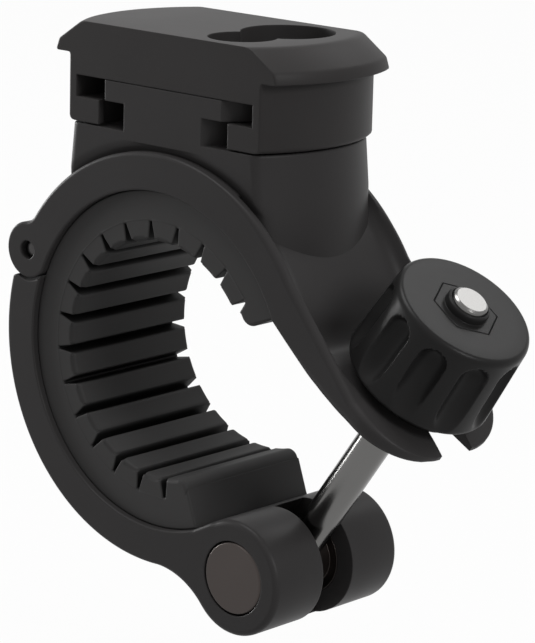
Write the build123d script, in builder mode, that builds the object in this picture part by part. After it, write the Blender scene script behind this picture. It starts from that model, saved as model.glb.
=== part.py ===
"""Handlebar bracket for a bicycle light: a hinged round clamp, a swing bolt with a knob and a turning mount head.

Millimetres. The origin is the centre of the clamp's bore, +Y runs along the handlebar, +X points to the
knob's side and +Z is up. Outlines named as seen from the front are drawn in the XZ plane.
"""
import os
from math import acos, asin, atan2, cos, degrees, hypot, radians, sin, sqrt, tan

from build123d import *

# Handlebar and rubber liner
bar_radius = 15.9
liner_thickness = 6.8
liner_half_width = 11.15
liner_rim_round = 0.65
liner_trim = 0.1
liner_bed_gap = 0.05
groove_count = 17
groove_pitch = 15.0
first_groove = 35.0
groove_depth = 2.65
groove_mouth = 1.5
groove_floor = 0.35
groove_overrun = 0.5
upper_end_angle = 25.0
lower_end_angle = 289.5
ramp_top_radius = 16.75
ramp_top_angle = 34.0
ramp_foot_radius = 18.5
ramp_foot_angle = 24.3
lower_end_round = 1.6
liner_joint_gap = 0.1

# Clamp shells
shell_thickness = 5.0
clamp_half_width = 12.05

# Hinge
hinge_groove = 8
hinge_inset = 1.35
knuckle_radius = 3.85
knuckle_gap = 0.35
knuckle_root_round = 2.6
middle_knuckle_half = 4.1
knuckle_side_gap = 0.2
hinge_pin_radius = 1.25
hinge_pin_recess = 0.6
pin_press_gap = 0.01
running_gap = 0.05
jaw_shoulder_drop = 4.0
jaw_shoulder_slope = 22.0

# Clevis on the jaw and the swing bolt's barrel
barrel_radius = 5.0
lug_wall = 2.75
lug_angle = -60.2
lug_sink = 0.2
lug_root_round = 11.0
clevis_slot = 5.9
clevis_back_wall = 5.4
clevis_floor_angle = 235.0
barrel_waist_radius = 3.8
barrel_end_bevel = 0.35

# Swing bolt
bolt_radius = 2.4
bolt_tilt = 35.0
bolt_length = 49.25
thread_radius = 2.5
thread_start = 34.5
bolt_root_depth = 3.2
bolt_end_bevel = 0.45
bolt_fit_gap = 0.02
bolt_swing_range = 60.0

# Arm and its fork
fork_top_radius = 33.8
fork_thickness = 3.4
fork_tip = 10.3
fork_tip_thickness = 0.65
fork_taper_run = -1.0
fork_tip_round = 8.5
fork_slot = 5.9
arm_start_angle = 32.0
arm_lip_angle = 24.2
arm_under_run = 6.0
arm_under_bend = 20.0
dish_radius = 26.2
dish_half_width = 11.05
dish_edge_round = 2.4
dish_blend = 6.0
dish_start_angle = 65.0

# Knob, nut and seat washer
knob_foot = 35.3
knob_height = 12.45
knob_foot_radius = 10.05
knob_shoulder_radius = 9.45
knob_top_radius = 8.7
knob_foot_edge = 0.9
knob_shoulder_drop = 1.15
flute_count = 10
flute_radius = 1.75
flute_depth = 1.7
flute_phase = 9.0
flute_lean = 4.5
flute_top = 46.2
knob_flange = 1.5
knob_bore_gap = 0.3
nut_across_flats = 8.0
nut_length = 9.0
nut_fit_gap = 0.02
nut_bevel = 0.3
washer_radius = 7.5
washer_recess = 0.7
washer_seat_gap = 0.05
washer_side_gap = 0.3
washer_spin_gap = 0.1

# Pedestal and its T-shaped tongue
body_half_depth = 11.0
pedestal_top = 29.7
pedestal_foot = 14.0
pedestal_top_radius = 19.6
pedestal_foot_radius = 21.0
pedestal_corner_round = 1.5
stem_end_half = 6.95
stem_middle_half = 11.2
flange_end_half = 10.42
flange_middle_half = 15.5
flange_thickness = 2.74
swivel_gap = 0.1
head_seam = 0.25

# Mount head
head_radius = 20.3
head_top = 43.35
hook_thickness = 3.25
hook_inner_half = 11.56
slot_half = 15.78
hook_relief = 0.3
hook_land = 0.95
lip_radius = 22.5
lip_slant = 0.4
lip_thickness = 1.5
lip_rise = 9.05
head_top_radius = 18.4
head_foot_round = 0.8
pocket_depth = 4.5
pocket_large_radius = 6.25
pocket_small_radius = 4.55
pocket_large_x = 9.0
pocket_large_y = 3.0
pocket_small_x = 8.2
pocket_small_y = -4.85

# Swivel screw
screw_radius = 2.0
screw_head_radius = 3.6
screw_head_height = 2.2
screw_seat = 26.6
screw_tip = 40.5
screw_socket = 2.5
screw_socket_depth = 1.3
screw_fit_gap = 0.02
counterbore_gap = 0.3

# Sizes that follow
liner_radius = bar_radius + liner_thickness
seat_radius = liner_radius + liner_bed_gap
clamp_radius = seat_radius + shell_thickness
groove_root = bar_radius + groove_depth
hinge_angle = first_groove + hinge_groove * groove_pitch
hinge_distance = clamp_radius - hinge_inset
hinge_x = hinge_distance * cos(radians(hinge_angle))
hinge_z = hinge_distance * sin(radians(hinge_angle))
relief_radius = knuckle_radius + knuckle_gap
middle_knuckle_radius = hinge_distance - seat_radius
joint_angle = hinge_angle + degrees(relief_radius / seat_radius) * 0.5
lug_radius = barrel_radius + running_gap + lug_wall
lug_distance = seat_radius + lug_radius - lug_sink
barrel_x = lug_distance * cos(radians(lug_angle))
barrel_z = lug_distance * sin(radians(lug_angle))
bolt_x = sin(radians(bolt_tilt))
bolt_z = cos(radians(bolt_tilt))
far = 4 * clamp_radius
through = 2 * clamp_half_width + 4
fork_under = fork_top_radius - fork_thickness
tip_angle = 90 - bolt_tilt - degrees(asin(fork_tip / fork_top_radius))
tip_height = fork_top_radius * sin(radians(tip_angle + bolt_tilt))
fork_tip_under = tip_height - fork_tip_thickness
join_spread = (lug_distance ** 2 + fork_top_radius ** 2 - dish_radius ** 2) / (2 * lug_distance * fork_top_radius)
join_bearing = 180 + lug_angle - degrees(acos(join_spread))
knob_top = knob_foot + knob_height
flute_length = flute_top - 2 * flute_radius - knob_foot - knob_flange
washer_top = knob_foot + washer_recess
recess_top = washer_top + washer_spin_gap
hook_bottom = pedestal_top + head_seam
hook_top = hook_bottom + hook_thickness
flange_bottom = hook_top + swivel_gap
flange_top = flange_bottom + flange_thickness
roof_bottom = flange_top + swivel_gap
lip_bottom = hook_bottom + lip_rise

# The bolt's own frame: x runs down the slope of the fork, y along the handlebar, z up the bolt
barrel_centre = (barrel_x, 0, barrel_z)
slope = (bolt_z, 0, -bolt_x)
along_bolt = (bolt_x, 0, bolt_z)
bolt_base = Plane(origin=barrel_centre, x_dir=slope, z_dir=along_bolt)
bolt_section = Plane(origin=barrel_centre, x_dir=slope, z_dir=(0, -1, 0))
bolt_axis = Axis(barrel_centre, along_bolt)


def on_circle(radius, angle):
    """Point of the front view at an angle from +X, about the bore's centre."""
    return (radius * cos(radians(angle)), radius * sin(radians(angle)))


def from_barrel(radius, angle):
    """Point of the front view at an angle from +X, about the barrel's axis."""
    return (barrel_x + radius * cos(radians(angle)), barrel_z + radius * sin(radians(angle)))


def up_bolt(across, height):
    """Point of the front view across and up from the barrel, in the bolt's own directions."""
    return (barrel_x + across * bolt_z + height * bolt_x, barrel_z - across * bolt_x + height * bolt_z)


os.makedirs("parts", exist_ok=True)


# Rubber liner, upper and lower lengths
# One ring with rounded rims, trimmed by a front view outline that holds its ends, its grooves and
# the slanted joint beside the hinge.
groove_side = 90 - degrees(atan2((groove_mouth - groove_floor) / 2, groove_depth))
groove_cut_height = groove_depth + groove_overrun
groove_cut_width = groove_mouth + 2 * groove_overrun / tan(radians(groove_side))
joint_turn = degrees(liner_joint_gap / groove_root)
joint_inner = on_circle(groove_root, hinge_angle)
joint_outer = on_circle(far, joint_angle)
joint_bed = on_circle(liner_radius, joint_angle)

with BuildPart() as upper_liner:
    with BuildSketch(Plane.XY):
        with Locations((bar_radius + liner_thickness / 2, 0)):
            Rectangle(liner_thickness + 2 * liner_trim, 2 * liner_half_width)
        fillet(vertices().group_by(Axis.X)[0], liner_rim_round + liner_trim)
    revolve(axis=Axis.Y)
    with BuildSketch(Plane.XZ) as upper_outline:
        with BuildLine():
            Polyline(
                (0, 0), on_circle(far, upper_end_angle), (0, far), on_circle(far, hinge_angle - groove_pitch),
                joint_outer, joint_bed, joint_inner, close=True,
            )
        make_face()
        Circle(liner_radius, mode=Mode.INTERSECT)
        Circle(bar_radius, mode=Mode.SUBTRACT)
        with BuildLine():
            Polyline(
                on_circle(ramp_top_radius, ramp_top_angle), on_circle(bar_radius / 2, ramp_top_angle),
                on_circle(bar_radius / 2, ramp_foot_angle), on_circle(ramp_foot_radius, ramp_foot_angle), close=True,
            )
        make_face(mode=Mode.SUBTRACT)
        with PolarLocations(bar_radius, groove_count, first_groove, (groove_count - 1) * groove_pitch, endpoint=True):
            with Locations((groove_depth - groove_cut_height / 2, 0)):
                Trapezoid(groove_cut_width, groove_cut_height, groove_side, rotation=-90, mode=Mode.SUBTRACT)
    extrude(amount=through, both=True, mode=Mode.INTERSECT)
upper_liner.part.label = "upper_liner"
export_step(upper_liner.part, "parts/upper_liner.step")

with BuildPart() as lower_liner:
    with BuildSketch(Plane.XY):
        with Locations((bar_radius + liner_thickness / 2, 0)):
            Rectangle(liner_thickness + 2 * liner_trim, 2 * liner_half_width)
        fillet(vertices().group_by(Axis.X)[0], liner_rim_round + liner_trim)
    revolve(axis=Axis.Y)
    with BuildSketch(Plane.XZ) as lower_outline:
        with BuildLine():
            Polyline(
                (0, 0), on_circle(groove_root, hinge_angle + joint_turn), on_circle(liner_radius, joint_angle + joint_turn),
                on_circle(far, joint_angle + joint_turn), on_circle(far, 225), (0, -far),
                on_circle(far, lower_end_angle), close=True,
            )
        make_face()
        Circle(liner_radius, mode=Mode.INTERSECT)
        Circle(bar_radius, mode=Mode.SUBTRACT)
        fillet(vertices().sort_by_distance(on_circle(bar_radius, lower_end_angle))[0], lower_end_round)
        with PolarLocations(bar_radius, groove_count, first_groove, (groove_count - 1) * groove_pitch, endpoint=True):
            with Locations((groove_depth - groove_cut_height / 2, 0)):
                Trapezoid(groove_cut_width, groove_cut_height, groove_side, rotation=-90, mode=Mode.SUBTRACT)
    extrude(amount=through, both=True, mode=Mode.INTERSECT)
lower_liner.part.label = "lower_liner"
export_step(lower_liner.part, "parts/lower_liner.step")


# Upper clamp: the fixed half, with its knuckles, the forked arm, the pedestal and the tongue
def bulged_outline(end_half, middle_half):
    """Plan outline between the two flat faces whose ends bulge out in arcs."""
    with BuildSketch() as outline:
        with BuildLine():
            ThreePointArc((end_half, -body_half_depth), (middle_half, 0), (end_half, body_half_depth))
            Line((end_half, body_half_depth), (-end_half, body_half_depth))
            ThreePointArc((-end_half, body_half_depth), (-middle_half, 0), (-end_half, -body_half_depth))
            Line((-end_half, -body_half_depth), (end_half, -body_half_depth))
        make_face()
    return outline.sketch


def pedestal_outline(end_radius):
    """Plan outline of the pedestal: a disc cut flat on two sides, corners rounded."""
    with BuildSketch() as outline:
        Circle(end_radius)
        Rectangle(2 * end_radius, 2 * body_half_depth, mode=Mode.INTERSECT)
        fillet(outline.vertices(), pedestal_corner_round)
    return outline.sketch


pedestal_foot_outline = pedestal_outline(pedestal_foot_radius)
pedestal_top_outline = pedestal_outline(pedestal_top_radius)
stem_outline = bulged_outline(stem_end_half, stem_middle_half)
flange_outline = bulged_outline(flange_end_half, flange_middle_half)


dish_join = from_barrel(fork_top_radius, join_bearing)
dish_join_angle = degrees(atan2(dish_join[1], dish_join[0]))
dish_foot_angle = 90 - bolt_tilt

with BuildPart() as dish_tool:
    with BuildSketch(Plane.XZ):
        with BuildLine():
            ThreePointArc(
                on_circle(dish_radius, dish_start_angle), on_circle(dish_radius, (dish_start_angle + dish_join_angle) / 2),
                dish_join,
            )
            ThreePointArc(
                dish_join, from_barrel(fork_top_radius, (join_bearing + dish_foot_angle) / 2),
                from_barrel(fork_top_radius, dish_foot_angle),
            )
            Polyline(
                from_barrel(fork_top_radius, dish_foot_angle), from_barrel(far, dish_foot_angle),
                on_circle(far, dish_start_angle), on_circle(dish_radius, dish_start_angle),
            )
        make_face()
        fillet(vertices().sort_by_distance(dish_join)[0], dish_blend)
    extrude(amount=dish_half_width, both=True)
    fillet(faces().filter_by(Plane.XZ).edges(), dish_edge_round)

with BuildPart() as upper_clamp:
    with BuildSketch(Plane.XZ):
        with BuildLine():
            ThreePointArc(
                on_circle(clamp_radius, hinge_angle), on_circle(clamp_radius, 90), on_circle(clamp_radius, arm_start_angle),
            )
            Line(on_circle(clamp_radius, arm_start_angle), from_barrel(fork_top_radius, 90 - bolt_tilt))
            ThreePointArc(
                from_barrel(fork_top_radius, 90 - bolt_tilt),
                from_barrel(fork_top_radius, (90 - bolt_tilt + tip_angle) / 2),
                from_barrel(fork_top_radius, tip_angle),
            )
            Polyline(
                from_barrel(fork_top_radius, tip_angle), up_bolt(fork_tip, fork_tip_under),
                up_bolt(fork_taper_run, fork_under),
                up_bolt(-arm_under_run, fork_under), on_circle(seat_radius, arm_lip_angle),
            )
            ThreePointArc(
                on_circle(seat_radius, arm_lip_angle), on_circle(seat_radius, 90), on_circle(seat_radius, hinge_angle),
            )
            Line(on_circle(seat_radius, hinge_angle), on_circle(clamp_radius, hinge_angle))
        make_face()
        with Locations((hinge_x, hinge_z)):
            Circle(knuckle_radius)
        root = on_circle(clamp_radius, hinge_angle - degrees(knuckle_radius / clamp_radius))
        fillet(vertices().sort_by_distance(root)[0], knuckle_root_round)
        fillet(vertices().sort_by_distance(up_bolt(-arm_under_run, fork_under))[0], arm_under_bend)
        fillet(vertices().sort_by_distance(up_bolt(fork_taper_run, fork_under))[0], arm_under_bend)
    extrude(amount=clamp_half_width, both=True)
    fillet(edges().filter_by(bolt_axis), fork_tip_round)
    with BuildSketch(bolt_base.offset(fork_under - fork_thickness)):
        Circle(fork_slot / 2)
        with Locations((fork_tip, 0)):
            Rectangle(2 * fork_tip, fork_slot)
    extrude(amount=3 * fork_thickness, mode=Mode.SUBTRACT)
    add(dish_tool.part, mode=Mode.SUBTRACT)
    with BuildSketch(Plane.XY.offset(pedestal_foot)):
        add(pedestal_foot_outline)
    with BuildSketch(Plane.XY.offset(pedestal_top)):
        add(pedestal_top_outline)
    loft()
    with BuildSketch(Plane.XY.offset(pedestal_top)):
        add(stem_outline)
    extrude(amount=flange_bottom - pedestal_top)
    with BuildSketch(Plane.XY.offset(flange_bottom)):
        add(flange_outline)
    extrude(amount=flange_thickness)
    with BuildSketch(Plane.XZ):
        Circle(seat_radius)
        with Locations((hinge_x, hinge_z)):
            Circle(hinge_pin_radius + pin_press_gap)
    extrude(amount=through, both=True, mode=Mode.SUBTRACT)
    with BuildSketch(Plane.XZ):
        with Locations((hinge_x, hinge_z)):
            Circle(relief_radius)
    extrude(amount=middle_knuckle_half + knuckle_side_gap, both=True, mode=Mode.SUBTRACT)
    with BuildSketch(Plane.XY):
        Circle(screw_head_radius + counterbore_gap)
    extrude(amount=screw_seat + swivel_gap, mode=Mode.SUBTRACT)
    with BuildSketch(Plane.XY):
        Circle(screw_radius + running_gap)
    extrude(amount=roof_bottom, mode=Mode.SUBTRACT)
upper_clamp.part.label = "upper_clamp"
export_step(upper_clamp.part, "parts/upper_clamp.step")


# Lower jaw: the swinging half, with the middle knuckle and the clevis
bed_end = on_circle(seat_radius, lower_end_angle)
bed_end_reach = hypot(bed_end[0] - barrel_x, bed_end[1] - barrel_z)
bed_end_bearing = degrees(atan2(bed_end[1] - barrel_z, bed_end[0] - barrel_x))
lug_top_angle = bed_end_bearing - degrees(acos(lug_radius / bed_end_reach))
back_wall_angle = 180 - bolt_tilt
floor_reach = 2 * lug_radius
floor_run_out = clevis_floor_angle + degrees(acos(clevis_back_wall / floor_reach))
shoulder_x = -clamp_radius * cos(asin((hinge_z - jaw_shoulder_drop) / clamp_radius))
shoulder_rise = (hinge_x - shoulder_x) * tan(radians(jaw_shoulder_slope))

with BuildPart() as lower_jaw:
    with BuildSketch(Plane.XZ):
        with BuildLine():
            ThreePointArc(
                on_circle(clamp_radius, hinge_angle), on_circle(clamp_radius, 220), on_circle(clamp_radius, 290),
            )
            Polyline(
                on_circle(clamp_radius, 290), (barrel_x, barrel_z), from_barrel(lug_radius, lug_top_angle), bed_end,
            )
            ThreePointArc(bed_end, on_circle(seat_radius, 220), on_circle(seat_radius, hinge_angle))
            Line(on_circle(seat_radius, hinge_angle), on_circle(clamp_radius, hinge_angle))
        make_face()
        with Locations((barrel_x, barrel_z)):
            Circle(lug_radius)
        lug_root = on_circle(clamp_radius, lug_angle - degrees(lug_radius / clamp_radius))
        fillet(vertices().sort_by_distance(lug_root)[0], lug_root_round)
        Circle(seat_radius, mode=Mode.SUBTRACT)
        with BuildLine():
            Polyline(
                (shoulder_x, hinge_z - jaw_shoulder_drop), (hinge_x, hinge_z - jaw_shoulder_drop + shoulder_rise),
                (hinge_x, hinge_z + knuckle_radius), (shoulder_x - knuckle_radius, hinge_z + knuckle_radius),
                (shoulder_x - knuckle_radius, hinge_z - jaw_shoulder_drop), close=True,
            )
        make_face(mode=Mode.SUBTRACT)
        with Locations((hinge_x, hinge_z)):
            Circle(relief_radius, mode=Mode.SUBTRACT)
    extrude(amount=clamp_half_width, both=True)
    with BuildSketch(Plane.XZ):
        with BuildLine():
            ThreePointArc(
                on_circle(clamp_radius, hinge_angle), on_circle(clamp_radius, hinge_angle + groove_pitch),
                on_circle(clamp_radius, hinge_angle + 2 * groove_pitch),
            )
            Line(on_circle(clamp_radius, hinge_angle + 2 * groove_pitch), on_circle(seat_radius, hinge_angle + 2 * groove_pitch))
            ThreePointArc(
                on_circle(seat_radius, hinge_angle + 2 * groove_pitch), on_circle(seat_radius, hinge_angle + groove_pitch),
                on_circle(seat_radius, hinge_angle),
            )
            Line(on_circle(seat_radius, hinge_angle), on_circle(clamp_radius, hinge_angle))
        make_face()
        with Locations((hinge_x, hinge_z)):
            Circle(middle_knuckle_radius)
        root = on_circle(clamp_radius, hinge_angle + degrees(middle_knuckle_radius / clamp_radius))
        fillet(vertices().sort_by_distance(root)[0], knuckle_root_round)
        Circle(seat_radius, mode=Mode.SUBTRACT)
    extrude(amount=middle_knuckle_half, both=True)
    with BuildSketch(Plane.XZ):
        with Locations((hinge_x, hinge_z)):
            Circle(hinge_pin_radius + running_gap)
        with Locations((barrel_x, barrel_z)):
            Circle(barrel_radius + running_gap)
    extrude(amount=through, both=True, mode=Mode.SUBTRACT)
    with BuildSketch(Plane.XZ):
        with BuildLine():
            ThreePointArc(
                from_barrel(clevis_back_wall, back_wall_angle),
                from_barrel(clevis_back_wall, (back_wall_angle + clevis_floor_angle) / 2),
                from_barrel(clevis_back_wall, clevis_floor_angle),
            )
            Polyline(
                from_barrel(clevis_back_wall, clevis_floor_angle), from_barrel(floor_reach, floor_run_out),
                from_barrel(2 * floor_reach, -bolt_tilt), up_bolt(floor_reach, floor_reach),
                up_bolt(-clevis_back_wall, floor_reach), from_barrel(clevis_back_wall, back_wall_angle),
            )
        make_face()
    extrude(amount=clevis_slot / 2, both=True, mode=Mode.SUBTRACT)
lower_jaw.part.label = "lower_jaw"
export_step(lower_jaw.part, "parts/lower_jaw.step")


# Hinge pin
with BuildPart() as hinge_pin:
    with BuildSketch(Plane.XZ):
        with Locations((hinge_x, hinge_z)):
            Circle(hinge_pin_radius)
    extrude(amount=clamp_half_width - hinge_pin_recess, both=True)
    fillet(edges().filter_by(GeomType.CIRCLE), hinge_pin_recess)
hinge_pin.part.label = "hinge_pin"
export_step(hinge_pin.part, "parts/hinge_pin.step")


# Cross barrel: the trunnion that the swing bolt screws into
with BuildPart() as cross_barrel:
    with BuildSketch(Plane.XZ):
        with Locations((barrel_x, barrel_z)):
            Circle(barrel_radius)
    extrude(amount=clamp_half_width, both=True)
    chamfer(edges().filter_by(GeomType.CIRCLE), barrel_end_bevel)
    with BuildSketch(Plane.XZ):
        with Locations((barrel_x, barrel_z)):
            Circle(2 * barrel_radius)
            Circle(barrel_waist_radius, mode=Mode.SUBTRACT)
    extrude(amount=clevis_slot / 2, both=True, mode=Mode.SUBTRACT)
    with BuildSketch(bolt_base.offset(-bolt_root_depth)):
        Circle(bolt_radius + bolt_fit_gap)
    extrude(amount=far, mode=Mode.SUBTRACT)
cross_barrel.part.label = "cross_barrel"
export_step(cross_barrel.part, "parts/cross_barrel.step")


# Swing bolt: plain shank below, thicker threaded length above
with BuildPart() as swing_bolt:
    with BuildSketch(bolt_base.offset(-bolt_root_depth)):
        Circle(bolt_radius)
    extrude(amount=bolt_root_depth + thread_start)
    with BuildSketch(bolt_base.offset(thread_start)):
        Circle(thread_radius)
    extrude(amount=bolt_length - thread_start)
    chamfer(faces().sort_by(bolt_axis)[-1].edges(), bolt_end_bevel)
swing_bolt.part.label = "swing_bolt"
export_step(swing_bolt.part, "parts/swing_bolt.step")


# Knob: a flared grip with flutes that run in towards the top
with BuildPart() as knob:
    with BuildSketch(bolt_section):
        with BuildLine():
            Polyline(
                (0, knob_foot), (knob_foot_radius, knob_foot), (knob_foot_radius, knob_foot + knob_foot_edge),
                (knob_shoulder_radius, knob_top - knob_shoulder_drop), (knob_top_radius, knob_top),
                (0, knob_top), close=True,
            )
        make_face()
    revolve(axis=bolt_axis)
    with Locations(bolt_base.offset(flute_top - flute_radius)):
        with PolarLocations(knob_shoulder_radius + flute_radius - flute_depth, flute_count, flute_phase):
            Sphere(flute_radius, mode=Mode.SUBTRACT)
            Cylinder(
                flute_radius, flute_length, rotation=(0, -flute_lean, 0), align=(Align.CENTER, Align.CENTER, Align.MAX),
                mode=Mode.SUBTRACT,
            )
            with Locations((flute_length * sin(radians(flute_lean)), 0, -flute_length * cos(radians(flute_lean)))):
                Sphere(flute_radius, mode=Mode.SUBTRACT)
    with BuildSketch(bolt_base.offset(knob_foot)):
        Circle(washer_radius + washer_side_gap)
    extrude(amount=recess_top - knob_foot, mode=Mode.SUBTRACT)
    with BuildSketch(bolt_base.offset(knob_foot)):
        Circle(thread_radius + knob_bore_gap)
    extrude(amount=knob_height, mode=Mode.SUBTRACT)
    with BuildSketch(bolt_base.offset(knob_top)):
        RegularPolygon(nut_across_flats / 2 + nut_fit_gap, 6, major_radius=False)
    extrude(amount=-nut_length, mode=Mode.SUBTRACT)
knob.part.label = "knob"
export_step(knob.part, "parts/knob.step")


# Threaded hexagon insert, flush with the knob's top
with BuildPart() as knob_insert:
    with BuildSketch(bolt_base.offset(knob_top)):
        RegularPolygon(nut_across_flats / 2, 6, major_radius=False)
        Circle(thread_radius + running_gap, mode=Mode.SUBTRACT)
    extrude(amount=nut_fit_gap - nut_length)
    chamfer(faces().sort_by(bolt_axis)[-1].inner_wires().edges(), nut_bevel)
knob_insert.part.label = "knob_insert"
export_step(knob_insert.part, "parts/knob_insert.step")


# Seat washer: hollowed below to ride on the round back of the fork
with BuildPart() as seat_washer:
    with BuildSketch(bolt_base.offset(tip_height)):
        Circle(washer_radius)
        Circle(thread_radius + washer_spin_gap, mode=Mode.SUBTRACT)
    extrude(amount=washer_top - tip_height)
    with BuildSketch(Plane.XZ):
        with Locations((barrel_x, barrel_z)):
            Circle(fork_top_radius + washer_seat_gap)
    extrude(amount=through, both=True, mode=Mode.SUBTRACT)
seat_washer.part.label = "seat_washer"
export_step(seat_washer.part, "parts/seat_washer.step")


# Mount head: a drum cut flat on two sides, slotted below for the tongue and lipped above for the light
with BuildPart() as mount_head:
    with BuildSketch(Plane.XZ):
        with BuildLine():
            Polyline(
                (0, hook_bottom), (head_radius, hook_bottom), (head_radius, lip_bottom), (lip_radius, lip_bottom),
                (lip_radius - lip_slant, lip_bottom + lip_thickness), (head_top_radius, head_top), (0, head_top), close=True,
            )
        make_face()
        fillet(vertices().sort_by_distance((head_radius, hook_bottom))[0], head_foot_round)
    revolve(axis=Axis.Z)
    Box(2 * lip_radius, 2 * body_half_depth, 2 * head_top, mode=Mode.INTERSECT)
    with BuildSketch(Plane.XY.offset(hook_bottom)):
        Rectangle(2 * hook_inner_half, 2 * body_half_depth)
        Rectangle(2 * (hook_inner_half + hook_relief), 2 * (body_half_depth - hook_land))
    extrude(amount=hook_thickness, mode=Mode.SUBTRACT)
    with BuildSketch(Plane.XY.offset(hook_top)):
        Rectangle(2 * slot_half, 2 * body_half_depth)
    extrude(amount=roof_bottom - hook_top, mode=Mode.SUBTRACT)
    with BuildSketch(Plane.XY.offset(head_top)):
        with Locations((pocket_large_x, pocket_large_y)):
            Circle(pocket_large_radius)
        with Locations((pocket_small_x, pocket_small_y)):
            Circle(pocket_small_radius)
    extrude(amount=-pocket_depth, mode=Mode.SUBTRACT)
    with BuildSketch(Plane.XY.offset(roof_bottom)):
        Circle(screw_radius + screw_fit_gap)
    extrude(amount=screw_tip + screw_fit_gap - roof_bottom, mode=Mode.SUBTRACT)
mount_head.part.label = "mount_head"
export_step(mount_head.part, "parts/mount_head.step")


# Swivel screw: holds the head down and turns with it
with BuildPart() as swivel_screw:
    with BuildSketch(Plane.XY.offset(screw_seat - screw_head_height)):
        Circle(screw_head_radius)
    extrude(amount=screw_head_height)
    with BuildSketch(Plane.XY.offset(screw_seat)):
        Circle(screw_radius)
    extrude(amount=screw_tip - screw_seat)
    with BuildSketch(Plane.XY.offset(screw_seat - screw_head_height)):
        RegularPolygon(screw_socket / 2, 6, major_radius=False)
    extrude(amount=screw_socket_depth, mode=Mode.SUBTRACT)
swivel_screw.part.label = "swivel_screw"
export_step(swivel_screw.part, "parts/swivel_screw.step")
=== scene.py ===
"""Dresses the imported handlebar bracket: shells, grooved liner, fluted knob, turning head, steel parts.

Sizes are in millimetres in the frame of the part: the origin is the centre of the bore, +Y runs along the
handlebar, +X points to the knob's side and +Z is up. Outlines of the front view are lists of (x, z).
"""

import logging
from dataclasses import dataclass
from enum import Enum
from math import acos, asin, atan2, ceil, cos, degrees, hypot, pi, radians, sin, sqrt, tan
from typing import Callable, Sequence

import bmesh
import bpy
from mathutils import Matrix, Vector


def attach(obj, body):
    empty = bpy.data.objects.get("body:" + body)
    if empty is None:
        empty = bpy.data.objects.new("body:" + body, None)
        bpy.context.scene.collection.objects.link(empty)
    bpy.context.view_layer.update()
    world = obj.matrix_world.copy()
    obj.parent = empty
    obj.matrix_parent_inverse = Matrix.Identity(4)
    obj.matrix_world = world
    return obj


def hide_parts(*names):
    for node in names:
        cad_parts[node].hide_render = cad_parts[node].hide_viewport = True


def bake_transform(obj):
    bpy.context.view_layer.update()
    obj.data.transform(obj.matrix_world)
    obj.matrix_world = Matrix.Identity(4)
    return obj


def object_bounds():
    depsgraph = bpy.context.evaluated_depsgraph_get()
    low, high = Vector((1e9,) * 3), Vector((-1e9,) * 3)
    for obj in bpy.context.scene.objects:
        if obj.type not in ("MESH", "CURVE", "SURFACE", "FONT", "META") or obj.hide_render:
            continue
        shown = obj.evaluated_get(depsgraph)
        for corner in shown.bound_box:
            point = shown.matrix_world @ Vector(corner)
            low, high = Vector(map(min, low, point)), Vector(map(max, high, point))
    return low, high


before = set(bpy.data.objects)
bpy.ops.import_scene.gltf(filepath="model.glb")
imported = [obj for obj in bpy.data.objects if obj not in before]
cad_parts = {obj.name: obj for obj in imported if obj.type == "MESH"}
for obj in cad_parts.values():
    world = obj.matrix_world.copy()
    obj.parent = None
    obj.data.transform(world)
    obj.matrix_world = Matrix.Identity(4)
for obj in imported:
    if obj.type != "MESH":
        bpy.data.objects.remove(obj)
CAD_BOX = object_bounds()

MM = 0.001
CREASE = 32.0
WELD = 0.001
SAME_PLACE = 0.02
CORNER_LIMIT = 0.35
FLAT_SIDE = 0.9998
# Mesh attribute of painted shade that darkens the liner's colour down in its grooves.
PAINTED_GROOVE_SHADE = "groove_shade"
LOG = logging.getLogger("bracket")

Point = tuple[float, float]
Solid = tuple[float, float, float]
Colour = tuple[float, float, float]
Placer = Callable[[float, float, float], Solid]
Rounding = float | Callable[[Point], float]

ORIGIN: Point = (0.0, 0.0)


class Body(Enum):
    """The moving bodies that new pieces ride on."""

    CLAMP = "clamp"
    JAW = "jaw"
    BOLT = "bolt"
    KNOB = "knob"
    HEAD = "head"


class Slot(Enum):
    """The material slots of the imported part."""

    CLAMP = "clamp_plastic"
    HEAD = "head_plastic"
    KNOB = "knob_plastic"
    RUBBER = "liner_rubber"
    BOLT = "bolt_steel"
    BARREL = "barrel_steel"
    PIN = "pin_steel"


def add_node(tree: bpy.types.NodeTree, kind: str, **inputs: float | Colour) -> bpy.types.Node:
    """Adds a node to a tree.

    Args:
        tree: the material's, world's or geometry's node tree.
        kind: the node's type.
        inputs: values of its inputs, their names written with underscores for spaces.

    Returns:
        The node.
    """
    made = tree.nodes.new(kind)
    for name, value in inputs.items():
        made.inputs[name.replace("_", " ")].default_value = value
    return made


def add_math(
    tree: bpy.types.NodeTree, operation: str, *values: bpy.types.NodeSocket | float,
) -> bpy.types.NodeSocket:
    """Adds a math node.

    Args:
        tree: the node tree.
        operation: what the node does.
        values: sockets and plain numbers that it works on.

    Returns:
        The result's socket.
    """
    made = tree.nodes.new("ShaderNodeMath")
    made.operation = operation
    for place, value in zip(made.inputs, values):
        if isinstance(value, bpy.types.NodeSocket):
            tree.links.new(value, place)
        else:
            place.default_value = value
    return made.outputs["Value"]


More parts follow.
